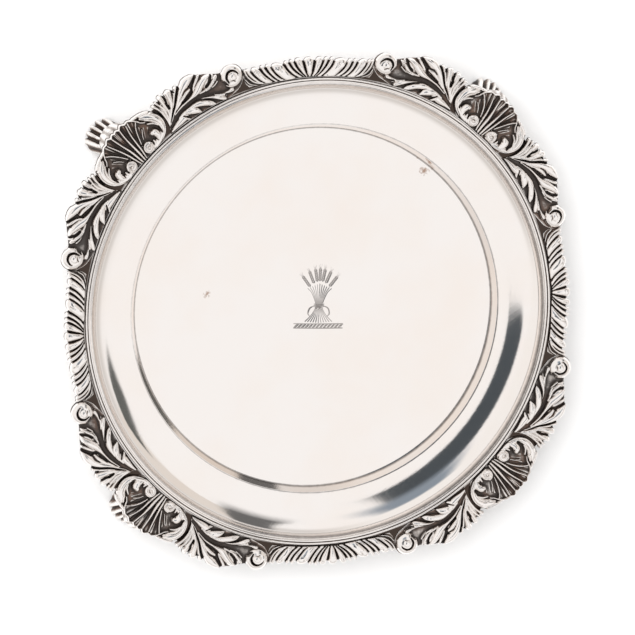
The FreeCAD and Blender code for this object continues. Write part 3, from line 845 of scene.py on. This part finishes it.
class Nodes:
    """Short calls for building a node tree."""

    def __init__(self, tree):
        self.tree = tree

    def add(self, kind, **settings):
        node = self.tree.nodes.new(kind)
        for key, value in settings.items():
            setattr(node, key, value)
        return node

    def link(self, source, target):
        self.tree.links.new(source, target)

    def feed(self, socket, value):
        """Gives a socket a number, a colour or another node's output."""
        if isinstance(value, (int, float)):
            socket.default_value = value
        elif isinstance(value, tuple):
            socket.default_value = (*value, 1)
        else:
            self.link(value, socket)

    def math(self, operation, first, second):
        node = self.add("ShaderNodeMath", operation=operation)
        self.feed(node.inputs[0], first)
        self.feed(node.inputs[1], second)
        return node.outputs[0]

    def span(self, value, low, high, new_low=0.0, new_high=1.0, interpolation="LINEAR"):
        """The value stretched from one range to another."""
        node = self.add("ShaderNodeMapRange", interpolation_type=interpolation)
        limits = {"From Min": low, "From Max": high, "To Min": new_low, "To Max": new_high}
        self.feed(node.inputs["Value"], value)
        for key, number in limits.items():
            node.inputs[key].default_value = number
        return node.outputs["Result"]

    def mix(self, amount, first, second):
        node = self.add("ShaderNodeMix", data_type="RGBA")
        colours = [socket for socket in node.inputs if socket.type == "RGBA"]
        self.feed(node.inputs["Factor"], amount)
        self.feed(colours[0], first)
        self.feed(colours[1], second)
        return [socket for socket in node.outputs if socket.type == "RGBA"][0]


class Finish(Nodes):
    """A new material and the calls that its surface needs."""

    def __init__(self, name):
        self.material = bpy.data.materials.new(name)
        self.material.use_nodes = True
        super().__init__(self.material.node_tree)
        self.shader = self.tree.nodes["Principled BSDF"]

    def attribute(self, name):
        return self.add("ShaderNodeAttribute", attribute_name=name).outputs["Fac"]

    def position(self):
        return self.add("ShaderNodeTexCoord").outputs["Object"]

    def noise(self, scale, detail=3.0, roughness=0.5, vector=None):
        node = self.add("ShaderNodeTexNoise")
        node.inputs["Scale"].default_value = scale
        node.inputs["Detail"].default_value = detail
        node.inputs["Roughness"].default_value = roughness
        self.link(self.position() if vector is None else vector, node.inputs["Vector"])
        return node.outputs["Fac"]

    def ramp(self, value, stops):
        node = self.add("ShaderNodeValToRGB")
        self.link(value, node.inputs["Fac"])
        elements = node.color_ramp.elements
        while len(elements) < len(stops):
            elements.new(0.5)
        for element, (position, colour) in zip(elements, stops):
            element.position = position
            element.color = (*colour, 1)
        return node.outputs["Color"]

    def distance(self, centre):
        """How far the surface is from a point."""
        node = self.add("ShaderNodeVectorMath", operation="DISTANCE")
        node.inputs[1].default_value = centre
        self.link(self.position(), node.inputs[0])
        return node.outputs["Value"]

    def hair_lines(self, turn):
        """Long thin streaks in one direction of the plan."""
        mapping = self.add("ShaderNodeMapping", vector_type="TEXTURE")
        mapping.inputs["Rotation"].default_value = (0, 0, turn)
        mapping.inputs["Scale"].default_value = (0.016, 0.0004, 0.016)
        self.link(self.position(), mapping.inputs["Vector"])
        return self.noise(1.0, 2.0, vector=mapping.outputs["Vector"])

    def bump(self, height, strength, distance, normal=None):
        node = self.add("ShaderNodeBump")
        node.inputs["Strength"].default_value = strength
        node.inputs["Distance"].default_value = distance
        self.link(height, node.inputs["Height"])
        if normal is not None:
            self.link(normal, node.inputs["Normal"])
        return node.outputs["Normal"]


def cast_silver():
    """Chased silver: bright on the high points, brown to black in the hollows from tarnish and painted
    shade.
    """
    n = Finish("cast_silver")
    patchy = n.span(n.noise(260.0, 6.0, 0.7), 0.3, 0.7, -0.17, 0.17)
    stain_and_shade = n.math("ADD", n.attribute("tarnish_and_shade"), patchy)
    clean = [(0.0, BRIGHT), (0.18, BRIGHT), (0.38, GREY)]
    warm = n.ramp(stain_and_shade, clean + [(0.60, BROWN), (1.0, BLACK)])
    cool = n.ramp(stain_and_shade, clean + [(0.60, COOL_DARK_GREY), (1.0, BLACK)])
    colour = n.mix(n.span(n.noise(70.0, 2.0), 0.42, 0.58), warm, cool)
    n.link(colour, n.shader.inputs["Base Color"])
    n.link(n.span(stain_and_shade, 0.6, 1.1, 1.0, 0.6), n.shader.inputs["Metallic"])
    dullness = n.math("ADD", stain_and_shade, n.span(n.noise(900.0), 0.0, 1.0, -0.2, 0.2))
    n.link(n.span(dullness, 0.0, 1.0, 0.14, 0.5), n.shader.inputs["Roughness"])
    n.link(n.bump(n.noise(1300.0, 3.0), 0.14, 0.0002), n.shader.inputs["Normal"])
    return n.material


def dish_silver():
    """Polished silver sheet: hair scratches, a warm bloom, a few brown specks, dark lines of tarnish
    with painted shade, and a flange darkened as painted shade.
    """
    n = Finish("dish_silver")
    colour = n.mix(n.span(n.noise(24.0, 3.0, 0.6), 0.42, 0.72), BRIGHT, WARM_BLOOM)
    rough_edge = n.noise(900.0, 4.0)
    for (x, y), size, strength in SPOTS:
        reach = size * MM
        raggedness = n.span(rough_edge, 0.3, 0.7, -0.7 * reach, 0.7 * reach)
        distance = n.math("ADD", n.distance((x * MM, y * MM, FIELD_Z * MM)), raggedness)
        colour = n.mix(n.span(distance, 0.2 * reach, 1.3 * reach, strength, 0.0), colour, SPOT_BROWN)
    mottle = n.span(n.noise(500.0, 3.0), 0.3, 0.7, -0.06, 0.06)
    # Dark lines of tarnish with painted shade, and the flange's painted shade between the castings.
    stain_and_shade = n.math("ADD", n.attribute("tarnish_and_shade"), mottle)
    colour = n.mix(n.span(stain_and_shade, 0.12, 0.95), colour, SEAM_TARNISH_AND_SHADE)
    colour = n.mix(n.span(n.attribute("ink"), 0.15, 0.85, 0.0, 0.8), colour, ENGRAVED_GREY)
    n.link(colour, n.shader.inputs["Base Color"])
    n.shader.inputs["Metallic"].default_value = 1.0
    n.link(n.span(n.noise(1800.0, 2.0), 0.3, 0.7, 0.05, 0.10), n.shader.inputs["Roughness"])
    ripple = n.bump(n.noise(40.0, 2.0), 0.05, 0.0010)
    scratches = n.math("ADD", n.hair_lines(0.6), n.hair_lines(2.2))
    n.link(n.bump(scratches, 0.14, 0.00004, ripple), n.shader.inputs["Normal"])
    return n.material


# ---------------------------------------------------------------- stage

def floor_white():
    """The matt white of the floor."""
    n = Finish("floor_white")
    n.shader.inputs["Base Color"].default_value = (0.86, 0.86, 0.86, 1)
    n.shader.inputs["Roughness"].default_value = 0.9
    return n.material


def floor():
    size = 6.0
    corners = [(-size, -size, 0), (size, -size, 0), (size, size, 0), (-size, size, 0)]
    mesh = bpy.data.meshes.new("floor")
    mesh.from_pydata(corners, [], [(0, 1, 2, 3)])
    mesh.materials.append(floor_white())
    piece = bpy.data.objects.new("floor", mesh)
    bpy.context.scene.collection.objects.link(piece)


def floor_light():
    """A soft lamp that brightens the floor and leaves the silver's reflections alone."""
    light = bpy.data.lights.new("floor_light", "SUN")
    light.energy = 2.3
    light.angle = math.radians(50)
    piece = bpy.data.objects.new("floor_light", light)
    piece.rotation_euler = Vector((0.35, -0.35, -0.87)).to_track_quat("-Z", "Y").to_euler()
    piece.visible_glossy = False
    bpy.context.scene.collection.objects.link(piece)


class Room(Nodes):
    """The surroundings as light by direction: a base that patches are laid over."""

    def __init__(self, colour):
        world = bpy.data.worlds.new("studio")
        bpy.context.scene.world = world
        world.use_nodes = True
        super().__init__(world.node_tree)
        self.direction = self.add("ShaderNodeTexCoord").outputs["Generated"]
        self.colour = colour

    def dot(self, axis):
        node = self.add("ShaderNodeVectorMath", operation="DOT_PRODUCT")
        node.inputs[1].default_value = axis
        self.link(self.direction, node.inputs[0])
        return node.outputs["Value"]

    def fade(self, value, low, high):
        return self.span(value, low, high, interpolation="SMOOTHSTEP")

    def lay(self, mask, colour):
        """Covers the light where the mask is 1."""
        self.colour = self.mix(mask, self.colour, colour)

    def patch(self, centre, along, half_length, half_width, softness, colour):
        """A soft-edged, round-cornered patch around a direction."""
        middle = Vector(centre).normalized()
        length = Vector(along)
        length = (length - middle * length.dot(middle)).normalized()
        a = self.math("DIVIDE", self.dot(length), half_length)
        b = self.math("DIVIDE", self.dot(middle.cross(length)), half_width)
        for _ in range(3):
            a = self.math("MULTIPLY", a, a)
            b = self.math("MULTIPLY", b, b)
        size = self.math("POWER", self.math("ADD", a, b), 1 / 8)
        inside = self.fade(size, 1 + softness, 1 - softness)
        facing = self.fade(self.dot(middle), 0.0, 0.2)
        self.lay(self.math("MULTIPLY", inside, facing), colour)


def studio():
    """A pale room: a broad bright ceiling, dimmer sides, and dark gaps round the camera and lamps."""
    room = Room(CEILING)
    rise = room.dot((0, 0, 1))
    room.lay(room.fade(rise, 0.70, 0.30), WALLS)
    room.lay(room.fade(room.dot((-0.80, 0.55, 0.1)), 0.25, 0.65), FAR_LAMP)
    room.lay(room.fade(rise, 0.22, 0.02), HORIZON)
    for row in PATCHES:
        room.patch(*row)
    room.link(room.colour, room.tree.nodes["Background"].inputs["Color"])


def camera():
    """A long lens from above, tilted a little to one corner."""
    lens = bpy.data.cameras.new("camera")
    lens.sensor_width = 36.0
    lens.lens = FOCAL_LENGTH
    lens.clip_end = 20.0
    piece = bpy.data.objects.new("camera", lens)
    turn = (Matrix.Rotation(math.radians(VIEW_SIDE), 4, "Z")
            @ Matrix.Rotation(math.radians(VIEW_LEAN), 4, "X")
            @ Matrix.Rotation(math.radians(VIEW_ROLL), 4, "Z"))
    back = Matrix.Translation((0, 0, VIEW_DISTANCE))
    piece.matrix_world = Matrix.Translation((*VIEW_POINT, FLANGE_Z * MM)) @ turn @ back
    bpy.context.scene.collection.objects.link(piece)
    bpy.context.scene.camera = piece


# ---------------------------------------------------------------- assembly

def fit(piece, material, node):
    """Gives a piece its finish and puts it in its CAD node's place."""
    piece.data.materials.append(material)
    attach(piece, "root")
    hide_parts(node)


cast = cast_silver()
fit(tray_plate(), dish_silver(), "tray_plate")
fit(rim_moulding(), cast, "rim_moulding")
shell = shell_casting()
leaf = leaf_casting()
fan = fan_casting()
for number, (corner, angle) in enumerate(CORNERS.items()):
    darkness_scale = CORNER_DARKNESS[corner]
    corner_shell = shell.place("corner_shell_" + corner, angle, False, 10 + number, darkness_scale)
    right_leaf = leaf.place("leaf_scroll_right_" + corner, angle, False, 20 + number, darkness_scale)
    left_leaf = leaf.place("leaf_scroll_left_" + corner, angle, True, 30 + number, darkness_scale)
    fit(corner_shell, cast, "shell_" + corner)
    fit(right_leaf, cast, "right_leaf_" + corner)
    fit(left_leaf, cast, "left_leaf_" + corner)
    fit(foot("toed_foot_" + corner, angle, LEAN[corner]), cast, "foot_" + corner)
for number, (side, angle) in enumerate(SIDES.items()):
    side_fan = fan.place("gadroon_fan_" + side, angle, False, 50 + number, 1.0)
    fit(side_fan, cast, "fan_" + side)

floor()
floor_light()
studio()
camera()
bpy.context.scene.view_settings.view_transform = "Standard"
